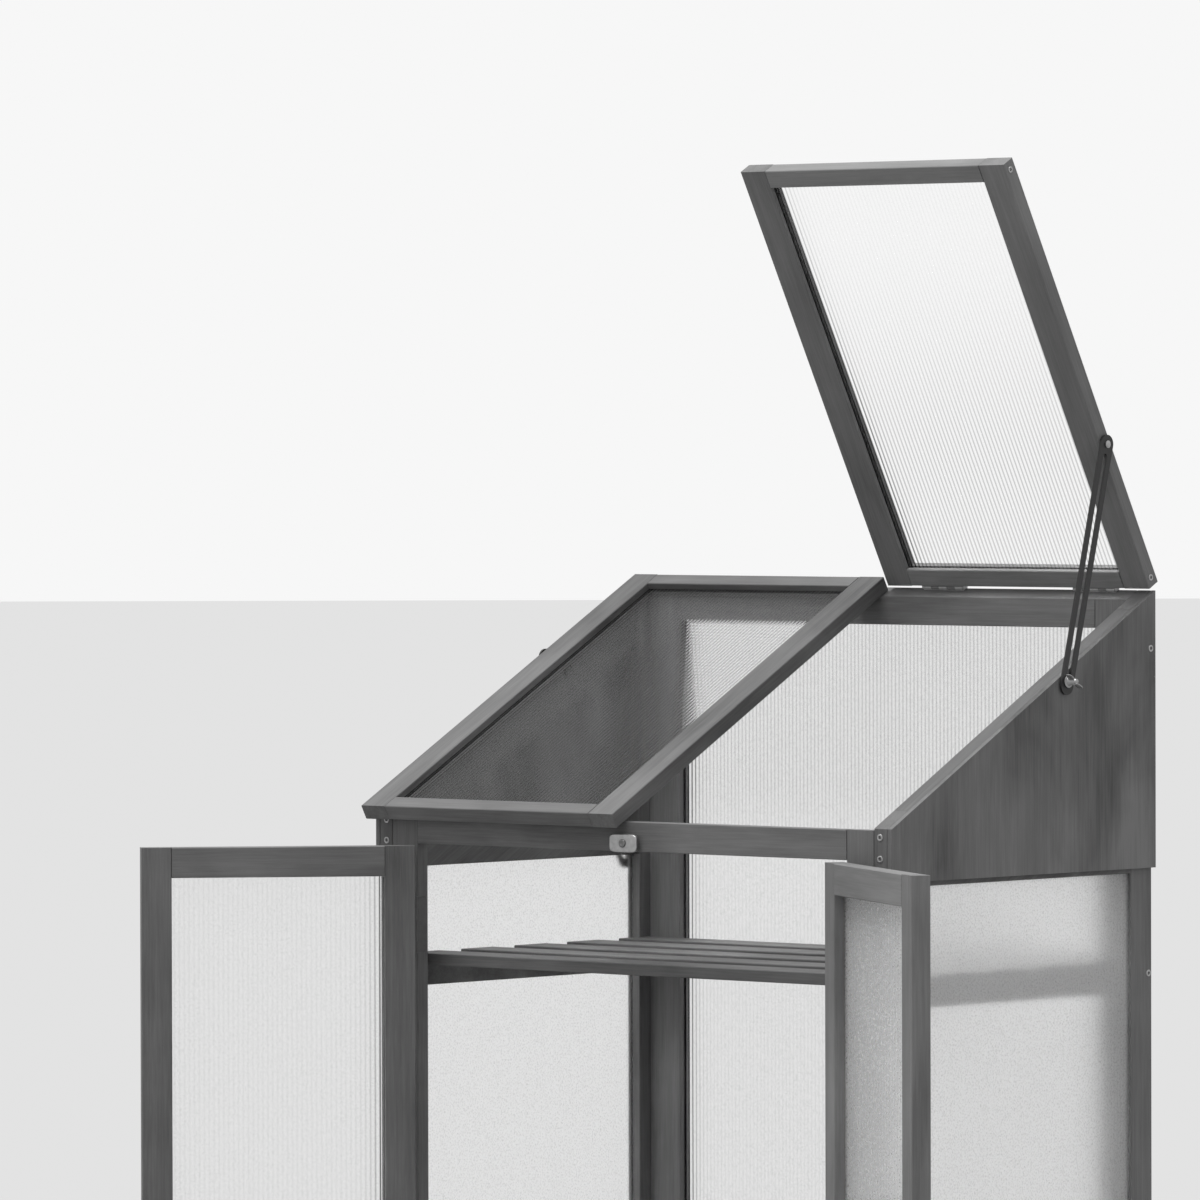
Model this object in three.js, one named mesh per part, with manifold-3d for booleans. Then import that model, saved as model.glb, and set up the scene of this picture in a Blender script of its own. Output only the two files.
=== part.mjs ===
// Wooden mini greenhouse with two folding doors, two roof lids on slotted stays and two slatted shelves.
// Millimetres, +Z up, the front faces -Y and +X is to the right of someone who looks at the doors.
// It is built with the front face at y = 0, the middle at x = 0 and the feet at z = 0.
// At the end the whole assembly is moved so that its box stands centred on the origin.

import * as THREE from 'three';
import { mergeVertices } from 'three/addons/utils/BufferGeometryUtils.js';
import Module from 'manifold-3d';

const wasm = await Module();
wasm.setup();

// Whole body
const bodyWidth = 760;
const bodyDepth = 456;
const frontHeight = 823;
const roofDegrees = 28.7;
const jointGap = 0.3;
const easedEdge = 0.8;

// Side frames
const sideThick = 19;
const sideFrontStileWidth = 34;
const sideBackStileWidth = 36.5;
const slopeRailWidth = 44;
const bottomRailLow = 60;
const bottomRailHeight = 34;
const sideTopRailHeight = 36;
const sideTopRailBelowPlank = 5.5;
const plankThick = 6;
const plankDrop = 23;
const sidePanelOutset = 4;
const plankLap = 5;

// Front frame
const postWidth = 38.4;
const frontThick = 17.5;
const frontRailHeight = 33;
const frontRailDrop = 2;

// Back frame
const backThick = 18.5;
const backStileWidth = 46;
const backTopRailHeight = 32;
const backBottomRailHeight = 50;
const backPanelInset = 7.5;

// Twin-wall panels
const panelThick = 4;
const grooveClearance = 0.3;
const panelLap = 6;
const panelEdgeGap = 1;

// Shelves
const shelfRailThick = 16;
const shelfRailHeight = 34;
const upperShelfBelowRail = 125;
const lowerShelfAboveRail = 66;
const slatCount = 5;
const slatWidth = 54;
const slatThick = 13;
const slatProud = 3;
const slatEndGap = 1;
const shelfFrontGap = 1.5;
const slatNotchGap = 0.4;

// Doors
const doorThick = 21;
const doorStileWidth = 34;
const doorRailHeight = 34;
const doorTopGap = 1.5;
const doorBottomGap = 2.5;
const doorSideGap = 3.1;
const doorMeetGap = 11;
const doorPanelInset = 12;
const leftDoorDegrees = 131;
const rightDoorDegrees = 147.5;

// Door butt hinges
const doorKnuckleRadius = 2.5;
const doorLeafThick = 1.1;
const doorLeafWidth = 17;
const doorHingeLength = 62;
const doorHingeFromEnd = 90;

// Roof lids
const lidOverhang = 20;
const lidThick = 17.5;
const lidStileWidth = 36;
const lidRailWidth = 21;
const lidMiddleGap = 2;
const lidPanelInset = 5.5;
const lidOpenDegrees = 90;

// Lid hinges: the knuckle lies on the roof line just behind the lid
const lidAxisFromBack = 6;
const lidKnuckleRadius = 2.5;
const lidLeafThick = 1;
const lidLeafHeight = 13;
const lidLeafDrop = 28;
const lidHingeLength = 58;
const lidHingeFromSide = 80;
const knuckleOverlap = 0.3;
const leafSink = 0.2;

// Knuckles and pins
const knuckleCount = 5;
const knuckleGap = 0.4;
const pinRadius = 1.1;
const pinClearance = 0.25;
const pinHeadRadius = 2.1;
const pinHeadHeight = 1;

// Slotted stays
const stayReach = 182;
const stayPivotRise = 8;
const stayBoltDrop = 9;
const stayThick = 2.5;
const stayWidth = 21;
const stayEndMargin = 11;
const slotWidth = 7;
const slotStartBeyondPivot = 11;
const slotOverrun = 1;
const staySideGap = 1.2;
const pivotHoleRadius = 3.1;
const pivotShankRadius = 2.7;
const pivotHeadRadius = 4.2;
const pivotHeadHeight = 2.2;
const pivotShankDepth = 14;
const pivotCollarRadius = 5.5;

// Wing bolts
const boltRadius = 3;
const boltHoleRadius = 3.3;
const boltHeadRadius = 8;
const boltHeadHeight = 3;
const washerRadius = 8.5;
const washerThick = 1.2;
const wingHubRadius = 5.6;
const wingHubTopRadius = 4.4;
const wingHubHeight = 8;
const wingSpan = 14;
const wingWidth = 9;
const wingThick = 2.2;
const wingLift = 3;
const wingDegrees = 30;
const boltTipLength = 3;

// Turn button under the lids
const buttonLength = 40;
const buttonWidth = 20;
const buttonThick = 4.5;
const buttonCornerRadius = 6;
const buttonDiscRadius = 10.5;
const buttonDiscThick = 3.5;
const buttonBelowRailTop = 23.5;
const buttonStemRadius = 3;
const buttonHoleRadius = 3.3;
const buttonHeadRadius = 5;
const buttonHeadHeight = 1.6;

// Facets and cutting
const roundSegments = 20;
const hingeSegments = 12;
const bendSegments = 6;
const cutOverrun = 30;
const halfShare = 0.5;
const halfTurnDegrees = 180;
const quarterTurnDegrees = 90;

// Colours
const woodFront = 0x606060;
const woodSide = 0x5a5a5a;
const woodLid = 0x666666;
const clearPanel = 0xe2e2e2;
const darkSteel = 0x303030;
const zinc = 0xa8a8a8;
const slateSteel = 0x4c4c4c;

// Derived sizes
const radians = THREE.MathUtils.degToRad;
const roofAngle = radians(roofDegrees);
const roofRise = Math.tan(roofAngle);
const halfWidth = bodyWidth * halfShare;
const sideOuter = halfWidth - plankThick;
const sideInner = sideOuter - sideThick;
const openingHalf = sideInner - jointGap - postWidth;
const sidePanelMiddle = sideOuter - sidePanelOutset - panelThick * halfShare;
const bottomRailTop = bottomRailLow + bottomRailHeight;
const frontRailTop = frontHeight - frontRailDrop;
const frontRailLow = frontRailTop - frontRailHeight;
const upperShelfTop = frontRailLow - upperShelfBelowRail;
const lowerShelfTop = bottomRailTop + lowerShelfAboveRail;
const backFront = bodyDepth - backThick;
const backPanelMiddle = backFront + backPanelInset + panelThick * halfShare;
const slopeRailDrop = slopeRailWidth / Math.cos(roofAngle);
const plankLow = frontRailLow - plankDrop;

const roofZ = (y) => frontHeight + y * roofRise;

// Lid hinge axis, a set height above the roof plane
const lidAxisHeight = lidKnuckleRadius + lidLeafThick + jointGap - knuckleOverlap * halfShare;
const lidAxisY = bodyDepth - lidAxisFromBack;
const lidAxisZ = roofZ(lidAxisY) + lidAxisHeight / Math.cos(roofAngle);
const lidEndSetback = lidKnuckleRadius + lidLeafThick - knuckleOverlap - leafSink;
const lidWidth = halfWidth - lidMiddleGap * halfShare;

const pieces = [];
const materialOf = (color, roughness, metalness) =>
  new THREE.MeshStandardMaterial({ color, roughness, metalness });
const painted = (color) => () => materialOf(color, 0.62, 0);
const paneLook = () => {
  const material = materialOf(clearPanel, 0.45, 0);
  material.transparent = true;
  material.opacity = 0.55;
  return material;
};
const metalLook = (color, roughness, metalness) => () => materialOf(color, roughness, metalness);
const frontWood = painted(woodFront);
const sideWood = painted(woodSide);
const lidWood = painted(woodLid);
const blackSteel = metalLook(darkSteel, 0.45, 0.6);
const slateMetal = metalLook(slateSteel, 0.5, 0.5);
const zincMetal = metalLook(zinc, 0.35, 0.9);

function addPiece(group, name, geometry, look) {
  const mesh = new THREE.Mesh(geometry, look());
  mesh.name = name;
  group.add(mesh);
  pieces.push(mesh);
  return mesh;
}

// Joining and cutting of closed meshes
function toSolid(geometry) {
  const bare = geometry.clone();
  bare.deleteAttribute('normal');
  bare.deleteAttribute('uv');
  const merged = mergeVertices(bare);
  const vertProperties = new Float32Array(merged.attributes.position.array);
  const corners = Array.from(merged.index.array);
  const kept = [];
  for (let i = 0; i < corners.length; i += 3) {
    const [a, b, c] = corners.slice(i, i + 3);
    if (a !== b && b !== c && c !== a) {
      kept.push(a, b, c);
    }
  }
  return new wasm.Manifold(new wasm.Mesh({ numProp: 3, vertProperties, triVerts: new Uint32Array(kept) }));
}

function toGeometry(solid) {
  const mesh = solid.getMesh();
  const geometry = new THREE.BufferGeometry();
  geometry.setAttribute('position', new THREE.BufferAttribute(new Float32Array(mesh.vertProperties), 3));
  geometry.setIndex(new THREE.BufferAttribute(new Uint32Array(mesh.triVerts), 1));
  return geometry;
}

function joined(geometries) {
  let solid = toSolid(geometries[0]);
  for (const geometry of geometries.slice(1)) {
    solid = solid.add(toSolid(geometry));
  }
  return toGeometry(solid);
}

function cut(geometry, tools) {
  let solid = toSolid(geometry);
  for (const tool of tools) {
    solid = solid.subtract(toSolid(tool));
  }
  return toGeometry(solid);
}

// Straight bars: a section drawn across the bar and pushed along one axis
function extruded(points, length) {
  const shape = new THREE.Shape(points.map(([u, v]) => new THREE.Vector2(u, v)));
  return new THREE.ExtrudeGeometry(shape, { depth: length, bevelEnabled: false });
}

function aimed(geometry, first, second, third) {
  const basis = new THREE.Matrix4().makeBasis(first, second, third);
  return geometry.applyMatrix4(basis);
}

const unitX = new THREE.Vector3(1, 0, 0);
const unitY = new THREE.Vector3(0, 1, 0);
const unitZ = new THREE.Vector3(0, 0, 1);

// Section points are [y, z] for a bar along X, [z, x] along Y and [x, y] along Z
const barX = (points, from, to) =>
  aimed(extruded(points, to - from), unitY, unitZ, unitX).translate(from, 0, 0);
const barY = (points, from, to) =>
  aimed(extruded(points, to - from), unitZ, unitX, unitY).translate(0, from, 0);
const barZ = (points, from, to) => extruded(points, to - from).translate(0, 0, from);

// A rectangle with eased corners
const section = (u0, u1, v0, v1) => [
  [u0 + easedEdge, v0],
  [u1 - easedEdge, v0],
  [u1, v0 + easedEdge],
  [u1, v1 - easedEdge],
  [u1 - easedEdge, v1],
  [u0 + easedEdge, v1],
  [u0, v1 - easedEdge],
  [u0, v0 + easedEdge],
];

const plainSection = (u0, u1, v0, v1) => [[u0, v0], [u1, v0], [u1, v1], [u0, v1]];

// A flat sheet from one corner to the other, and the room it needs in the timber round it:
// the same box grown by the edge gap along the sheet and by the groove's clearance through it
const sheet = (low, high) => barX(plainSection(low[1], high[1], low[2], high[2]), low[0], high[0]);

function sheetRoom(low, high, thinAxis) {
  const growth = [0, 1, 2].map((axis) => (axis === thinAxis ? grooveClearance : panelEdgeGap));
  const roomLow = low.map((value, axis) => value - growth[axis]);
  const roomHigh = high.map((value, axis) => value + growth[axis]);
  return sheet(roomLow, roomHigh);
}

function mirrored(geometry) {
  const flipped = geometry.index ? geometry.toNonIndexed() : geometry.clone();
  const position = flipped.attributes.position;
  const copy = position.clone();
  for (let i = 0; i < position.count; i += 3) {
    copy.setXYZ(i, -position.getX(i), position.getY(i), position.getZ(i));
    copy.setXYZ(i + 1, -position.getX(i + 2), position.getY(i + 2), position.getZ(i + 2));
    copy.setXYZ(i + 2, -position.getX(i + 1), position.getY(i + 1), position.getZ(i + 1));
  }
  const result = new THREE.BufferGeometry();
  result.setAttribute('position', copy);
  return result;
}

// Side geometry is drawn for the right side and mirrored for the left
const sided = (geometry, side) => (side === 'left' ? mirrored(geometry) : geometry);

// A round piece turned about an axis along +X: profile points are [radius, x]
function turnedX(profile, segments = roundSegments) {
  const points = profile.map(([radius, along]) => new THREE.Vector2(radius, along));
  const lathe = new THREE.LatheGeometry(points, segments);
  return aimed(lathe, unitY, unitX, new THREE.Vector3(0, 0, -1));
}

function rodX(radius, from, to, segments = roundSegments) {
  return turnedX([[0, from], [radius, from], [radius, to], [0, to]], segments);
}

// Everything above the roof plane, used to cut board ends and tops
function aboveRoof(gap) {
  const reach = bodyDepth + cutOverrun;
  const lift = -gap / Math.cos(roofAngle);
  const top = roofZ(reach) + cutOverrun;
  const points = [
    [-cutOverrun, roofZ(-cutOverrun) + lift],
    [reach, roofZ(reach) + lift],
    [reach, top],
    [-cutOverrun, top],
  ];
  return barX(points, -halfWidth - cutOverrun, halfWidth + cutOverrun);
}

// Side frames with a sloping top, a solid gable plank outside and a twin-wall panel in a groove
const slopeRailBolt = () => {
  const bolt = boltPlace();
  return rodX(boltHoleRadius, sideInner - cutOverrun, halfWidth + cutOverrun).translate(0, bolt.y, bolt.z);
};

// Low and high corner of the side's panel; its top end laps behind the gable plank
function sidePanelCorners() {
  const thick = panelThick * halfShare;
  return [
    [sidePanelMiddle - thick, sideFrontStileWidth - panelLap, bottomRailTop - panelLap],
    [sidePanelMiddle + thick, bodyDepth - sideBackStileWidth + panelLap, plankLow + plankLap],
  ];
}

const sidePanelRoom = () => sheetRoom(...sidePanelCorners(), 0);

function sideStile(y0, y1) {
  const stile = barZ(section(sideInner, sideOuter, y0, y1), 0, roofZ(y1));
  return cut(stile, [aboveRoof(0), sidePanelRoom()]);
}

// The slope rail, glued at its front end to the level rail that holds the top of the side panel
function sideSlopeRail() {
  const from = sideFrontStileWidth + jointGap;
  const to = bodyDepth - sideBackStileWidth - jointGap;
  const points = [
    [from, roofZ(from) - slopeRailDrop],
    [to, roofZ(to) - slopeRailDrop],
    [to, roofZ(to)],
    [from, roofZ(from)],
  ];
  const slope = cut(barX(points, sideInner, sideOuter), [slopeRailBolt()]);
  const low = plankLow - sideTopRailBelowPlank;
  const level = barY(section(low, low + sideTopRailHeight, sideInner, sideOuter), from, to);
  return joined([slope, cut(level, [sidePanelRoom()])]);
}

function sideBottomRail() {
  const points = section(bottomRailLow, bottomRailTop, sideInner, sideOuter);
  const rail = barY(points, sideFrontStileWidth + jointGap, bodyDepth - sideBackStileWidth - jointGap);
  return cut(rail, [sidePanelRoom()]);
}

function gablePlank() {
  const from = sideOuter + jointGap;
  const points = [
    [0, plankLow],
    [bodyDepth, plankLow],
    [bodyDepth, roofZ(bodyDepth)],
    [0, roofZ(0)],
  ];
  return cut(barX(points, from, halfWidth), [slopeRailBolt()]);
}

function addSide(group, side) {
  const name = (piece) => `side_${side}_${piece}`;
  addPiece(group, name('front_stile'), sided(sideStile(0, sideFrontStileWidth), side), sideWood);
  const backStile = sideStile(bodyDepth - sideBackStileWidth, bodyDepth);
  addPiece(group, name('back_stile'), sided(backStile, side), sideWood);
  addPiece(group, name('slope_rail'), sided(sideSlopeRail(), side), sideWood);
  addPiece(group, name('bottom_rail'), sided(sideBottomRail(), side), sideWood);
  addPiece(group, name('gable_plank'), sided(gablePlank(), side), sideWood);
  addPiece(group, name('panel'), sided(sheet(...sidePanelCorners()), side), paneLook);
}

// Front frame: two posts with a rail above and a rail below the doors
function addFront(group) {
  const post = () => barZ(section(openingHalf, sideInner - jointGap, 0, frontThick), 0, frontRailTop);
  addPiece(group, 'front_post_left', mirrored(post()), frontWood);
  addPiece(group, 'front_post_right', post(), frontWood);
  const reach = openingHalf - jointGap;
  const stem = rodX(buttonHoleRadius, -cutOverrun, cutOverrun).rotateZ(radians(quarterTurnDegrees));
  const topRail = barX(section(0, frontThick, frontRailLow, frontRailTop), -reach, reach);
  addPiece(group, 'front_top_rail', cut(topRail, [stem.translate(0, 0, buttonZ)]), frontWood);
  const lowRail = barX(section(0, frontThick, bottomRailLow, bottomRailTop), -reach, reach);
  addPiece(group, 'front_bottom_rail', lowRail, frontWood);
}

// Back frame with its panel, set between the side frames
function addBack(group) {
  const outer = sideInner - jointGap;
  const inner = outer - backStileWidth;
  const stileTop = roofZ(bodyDepth);
  const topLow = roofZ(backFront) - backTopRailHeight;
  const lowTop = bottomRailLow + backBottomRailHeight;
  const thick = panelThick * halfShare;
  const corners = [
    [-inner - panelLap, backPanelMiddle - thick, lowTop - panelLap],
    [inner + panelLap, backPanelMiddle + thick, topLow + panelLap],
  ];
  const room = () => sheetRoom(...corners, 1);
  const upright = () => barZ(section(inner, outer, backFront, bodyDepth), 0, stileTop);
  const stile = () => cut(upright(), [aboveRoof(0), room()]);
  addPiece(group, 'back_stile_left', mirrored(stile()), sideWood);
  addPiece(group, 'back_stile_right', stile(), sideWood);
  const reach = inner - jointGap;
  const topRail = barX(section(backFront, bodyDepth, topLow, stileTop), -reach, reach);
  addPiece(group, 'back_top_rail', cut(topRail, [aboveRoof(0), room()]), sideWood);
  const lowRail = barX(section(backFront, bodyDepth, bottomRailLow, lowTop), -reach, reach);
  addPiece(group, 'back_bottom_rail', cut(lowRail, [room()]), sideWood);
  addPiece(group, 'back_panel', sheet(...corners), paneLook);
}

// Shelves: slats glued into notches along the tops of two rails
const shelfFront = Math.max(frontThick, doorThick) + shelfFrontGap;
const shelfBack = backFront - shelfFrontGap;
const slatPitch = (shelfBack - shelfFront - slatWidth) / (slatCount - 1);
const slatStarts = Array.from({ length: slatCount }, (_, i) => shelfFront + i * slatPitch);

function shelfRail(top) {
  const railTop = top - slatProud;
  const notchFloor = top - slatThick;
  const outer = sideInner - jointGap;
  const points = [[shelfFront, railTop - shelfRailHeight], [shelfBack, railTop - shelfRailHeight]];
  for (const start of [...slatStarts].reverse()) {
    const from = Math.max(start - slatNotchGap, shelfFront);
    const to = Math.min(start + slatWidth + slatNotchGap, shelfBack);
    points.push([to, railTop], [to, notchFloor], [from, notchFloor], [from, railTop]);
  }
  const clean = points.filter(([y, z]) => z !== railTop || (y > shelfFront && y < shelfBack));
  return barX(clean, outer - shelfRailThick, outer);
}

function shelf(top) {
  const reach = sideInner - jointGap - slatEndGap;
  const slat = (start) => section(start, start + slatWidth, top - slatThick, top);
  const slats = slatStarts.map((start) => barX(slat(start), -reach, reach));
  return joined([shelfRail(top), mirrored(shelfRail(top)), ...slats]);
}

// A row of knuckles along X that alternates between the two leaves of a hinge
function knuckles(radius, length, first) {
  const pitch = length / knuckleCount;
  const rods = [];
  for (let i = first; i < knuckleCount; i += 2) {
    const from = -length * halfShare + i * pitch + knuckleGap * halfShare;
    const to = from + pitch - knuckleGap;
    rods.push(rodX(radius, from, to, hingeSegments));
  }
  return rods;
}

// Notches in a leaf where the other leaf's knuckles turn
function knuckleClearances(radius, length, first) {
  const pitch = length / knuckleCount;
  const rods = [];
  for (let i = first; i < knuckleCount; i += 2) {
    const from = -length * halfShare + i * pitch;
    rods.push(rodX(radius + knuckleGap, from, from + pitch, hingeSegments));
  }
  return rods;
}

// A fixed hinge half holds the pin, and the moving half's knuckles are bored to turn on it
function hingeHalf(radius, length, first, plates, upright) {
  const other = first === 0 ? 1 : 0;
  const turn = (geometry) => (upright ? uprightHinge(geometry) : geometry);
  const clearances = knuckleClearances(radius, length, other).map(turn);
  const cleared = plates.map((plate) => cut(plate, clearances));
  const row = knuckles(radius, length, first).map(turn);
  if (first === 0) {
    return joined([...row, turn(hingePin(length)), ...cleared]);
  }
  const bore = () => turn(rodX(pinRadius + pinClearance, -length, length, hingeSegments));
  const bored = row.map((rod) => cut(rod, [bore()]));
  return joined([...cleared, ...bored]);
}

function hingePin(length) {
  const end = length * halfShare + jointGap;
  return turnedX([
    [0, -end - pinHeadHeight],
    [pinHeadRadius, -end - pinHeadHeight],
    [pinHeadRadius, -end],
    [pinRadius, -end],
    [pinRadius, end],
    [pinHeadRadius, end],
    [pinHeadRadius, end + pinHeadHeight],
    [0, end + pinHeadHeight],
  ], hingeSegments);
}

// Lid hinge halves, drawn in the closed lid's frame: y runs up the slope and z away from the roof
function lidFixedHalf() {
  const low = -lidAxisHeight + jointGap;
  const high = low + lidLeafThick;
  const start = -lidKnuckleRadius * halfShare;
  const backFaceAt = (offset, z) =>
    (lidAxisFromBack + offset + z * Math.sin(roofAngle)) / Math.cos(roofAngle);
  const down = new THREE.Vector2(-Math.sin(roofAngle), -Math.cos(roofAngle));
  const out = new THREE.Vector2(Math.cos(roofAngle), -Math.sin(roofAngle));
  const inner = new THREE.Vector2(backFaceAt(jointGap, low), low);
  const innerEnd = inner.clone().addScaledVector(down, lidLeafDrop);
  const outerEnd = innerEnd.clone().addScaledVector(out, lidLeafThick);
  const points = [
    [start, low],
    [inner.x, inner.y],
    [innerEnd.x, innerEnd.y],
    [outerEnd.x, outerEnd.y],
    [backFaceAt(jointGap + lidLeafThick, high), high],
    [start, high],
  ];
  const plate = barX(points, -lidHingeLength * halfShare, lidHingeLength * halfShare);
  return hingeHalf(lidKnuckleRadius, lidHingeLength, 0, [plate]);
}

function lidMovingHalf() {
  const back = -lidKnuckleRadius + knuckleOverlap;
  const low = -lidAxisHeight + lidLeafThick;
  const end = lidHingeLength * halfShare;
  const plate = barX(plainSection(back - lidLeafThick, back, low, low + lidLeafHeight), -end, end);
  return hingeHalf(lidKnuckleRadius, lidHingeLength, 1, [plate]);
}

const lidHingeMiddles = [lidHingeFromSide, lidWidth - lidHingeFromSide];

// A door hinge's row of knuckles runs along z
const uprightHinge = (geometry) => geometry.rotateY(radians(-quarterTurnDegrees));

// Frame of a lid: x from the middle outwards, y from the hinge axis, z from the roof.
// The closed lid reaches past the front face by its overhang
function lidPieces(side) {
  const under = -lidAxisHeight + jointGap;
  const over = under + lidThick;
  const end = -lidEndSetback;
  const front = -lidAxisY / Math.cos(roofAngle) - lidOverhang;
  const inner = lidMiddleGap * halfShare;
  const middle = under + lidPanelInset + panelThick * halfShare;
  const from = inner + lidStileWidth + jointGap;
  const to = halfWidth - lidStileWidth - jointGap;
  const corners = [
    [from - jointGap - panelLap, front + lidRailWidth - panelLap, middle - panelThick * halfShare],
    [to + jointGap + panelLap, end - lidRailWidth + panelLap, middle + panelThick * halfShare],
  ];
  const room = () => sheetRoom(...corners, 2);
  const place = pivotPlace();
  const pilot = rodX(
    pivotShankRadius + pinClearance,
    halfWidth - pivotShankDepth - jointGap,
    halfWidth + cutOverrun,
  ).translate(0, place.y, place.z);
  const bareOuter = barY(section(under, over, halfWidth - lidStileWidth, halfWidth), front, end);
  const bareInner = barY(section(under, over, inner, inner + lidStileWidth), front, end);
  const bareBack = barX(section(end - lidRailWidth, end, under, over), from, to);
  const bareFront = barX(section(front, front + lidRailWidth, under, over), from, to);
  const leaves = lidHingeMiddles.map((x) => lidMovingHalf().translate(x, 0, 0));
  return {
    outerStile: sided(cut(bareOuter, [room(), pilot]), side),
    innerStile: sided(cut(bareInner, [room()]), side),
    backRail: sided(joined([cut(bareBack, [room()]), ...leaves]), side),
    frontRail: sided(cut(bareFront, [room()]), side),
    panel: sided(sheet(...corners), side),
  };
}

// The stay's pivot on the lid and the bolt in the side frame lie equally far from the lid's hinge axis,
// so the stay always turns half as far as the lid
function pivotPlace() {
  const z = -lidAxisHeight + stayPivotRise;
  return { y: -Math.sqrt(stayReach * stayReach - z * z), z };
}

function boltOffset() {
  const z = -lidAxisHeight - stayBoltDrop;
  return { y: -Math.sqrt(stayReach * stayReach - z * z), z };
}

function boltPlace() {
  const offset = boltOffset();
  return {
    y: lidAxisY + offset.y * Math.cos(roofAngle) - offset.z * Math.sin(roofAngle),
    z: lidAxisZ + offset.y * Math.sin(roofAngle) + offset.z * Math.cos(roofAngle),
  };
}

// Angle at the hinge between pivot and bolt for a lid opened by some degrees
function spread(openDegrees) {
  const pivot = pivotPlace();
  const bolt = boltOffset();
  const pivotAngle = Math.atan2(pivot.z, -pivot.y);
  const boltAngle = Math.atan2(bolt.z, -bolt.y);
  return radians(openDegrees) + pivotAngle - boltAngle;
}

const chord = (openDegrees) => 2 * stayReach * Math.sin(spread(openDegrees) * halfShare);

// The stay hangs along -y of its own frame, from the pivot towards the bolt
function stayBar() {
  const far = chord(lidOpenDegrees) + boltRadius + slotOverrun;
  const near = Math.min(slotStartBeyondPivot, chord(0) - boltRadius - slotOverrun);
  const radius = stayWidth * halfShare;
  const outline = new THREE.Shape();
  outline.absarc(0, 0, radius, 0, Math.PI, false);
  outline.absarc(0, -far - stayEndMargin + radius, radius, Math.PI, 2 * Math.PI, false);
  const slotRadius = slotWidth * halfShare;
  const slot = new THREE.Path();
  slot.absarc(0, -near - slotRadius, slotRadius, 0, Math.PI, false);
  slot.absarc(0, -far + slotRadius, slotRadius, Math.PI, 2 * Math.PI, false);
  const hole = new THREE.Path();
  hole.absarc(0, 0, pivotHoleRadius, 0, 2 * Math.PI, true);
  outline.holes.push(slot, hole);
  const curveSegments = roundSegments * halfShare;
  const flat = new THREE.ExtrudeGeometry(outline, { depth: stayThick, bevelEnabled: false, curveSegments });
  const upright = aimed(flat, unitY, unitZ, unitX).rotateX(radians(-quarterTurnDegrees));
  return upright.translate(halfWidth + staySideGap, 0, 0);
}

function stayPivotScrew() {
  const stayOuter = halfWidth + staySideGap + stayThick;
  return turnedX([
    [0, halfWidth - pivotShankDepth],
    [pivotShankRadius, halfWidth - pivotShankDepth],
    [pivotShankRadius, halfWidth + jointGap],
    [pivotCollarRadius, halfWidth + jointGap],
    [pivotCollarRadius, halfWidth + staySideGap - jointGap],
    [pivotShankRadius, halfWidth + staySideGap - jointGap],
    [pivotShankRadius, stayOuter + jointGap],
    [pivotHeadRadius, stayOuter + jointGap],
    [pivotHeadRadius, stayOuter + jointGap + pivotHeadHeight * halfShare],
    [pivotHeadRadius * halfShare, stayOuter + jointGap + pivotHeadHeight],
    [0, stayOuter + jointGap + pivotHeadHeight],
  ]);
}

// A carriage bolt through the side frame and the slot, with a washer and a wing nut outside
function wingBolt() {
  const stayOuter = halfWidth + staySideGap + stayThick;
  const washerFrom = stayOuter + jointGap;
  const hubFrom = washerFrom + washerThick;
  const hubTo = hubFrom + wingHubHeight;
  const head = sideInner - jointGap;
  const body = turnedX([
    [0, head - boltHeadHeight],
    [boltHeadRadius * halfShare, head - boltHeadHeight],
    [boltHeadRadius, head - boltHeadHeight * halfShare],
    [boltHeadRadius, head],
    [boltRadius, head],
    [boltRadius, halfWidth + jointGap],
    [washerRadius, halfWidth + jointGap],
    [washerRadius, halfWidth + staySideGap - jointGap],
    [boltRadius, halfWidth + staySideGap - jointGap],
    [boltRadius, washerFrom],
    [washerRadius, washerFrom],
    [washerRadius, hubFrom],
    [wingHubRadius, hubFrom],
    [wingHubTopRadius, hubTo],
    [boltRadius, hubTo],
    [boltRadius, hubTo + boltTipLength],
    [0, hubTo + boltTipLength],
  ]);
  const wing = new THREE.Shape();
  const root = wingHubTopRadius * halfShare;
  wing.moveTo(root, 0);
  const tip = wingWidth * halfShare;
  wing.lineTo(wingSpan - tip, wingLift);
  wing.absarc(wingSpan - tip, wingLift + tip, tip, -Math.PI * halfShare, Math.PI, false);
  wing.lineTo(root, wingHubHeight - wingLift);
  const thin = { depth: wingThick, bevelEnabled: false, curveSegments: bendSegments };
  const flat = new THREE.ExtrudeGeometry(wing, thin).translate(0, 0, -wingThick * halfShare);
  const first = aimed(flat, unitY, unitX, new THREE.Vector3(0, 0, -1)).translate(hubFrom, 0, 0);
  const second = first.clone().rotateX(radians(halfTurnDegrees));
  const whole = joined([body, first, second]);
  return whole.rotateX(radians(wingDegrees));
}

// Turn button on the front rail: a disc, a stem through the rail and the button itself
const buttonZ = frontRailTop - buttonBelowRailTop;

function buttonPost() {
  const buttonFrom = buttonDiscThick + jointGap;
  const headFrom = buttonFrom + buttonThick + jointGap;
  const post = turnedX([
    [0, -frontThick - jointGap - boltHeadHeight],
    [buttonHeadRadius, -frontThick - jointGap - boltHeadHeight],
    [buttonHeadRadius, -frontThick - jointGap],
    [buttonStemRadius, -frontThick - jointGap],
    [buttonStemRadius, jointGap],
    [buttonDiscRadius, jointGap],
    [buttonDiscRadius, buttonDiscThick],
    [buttonStemRadius, buttonDiscThick],
    [buttonStemRadius, headFrom],
    [buttonHeadRadius, headFrom],
    [buttonHeadRadius * halfShare, headFrom + buttonHeadHeight],
    [0, headFrom + buttonHeadHeight],
  ]);
  return post.rotateZ(radians(-quarterTurnDegrees));
}

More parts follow.
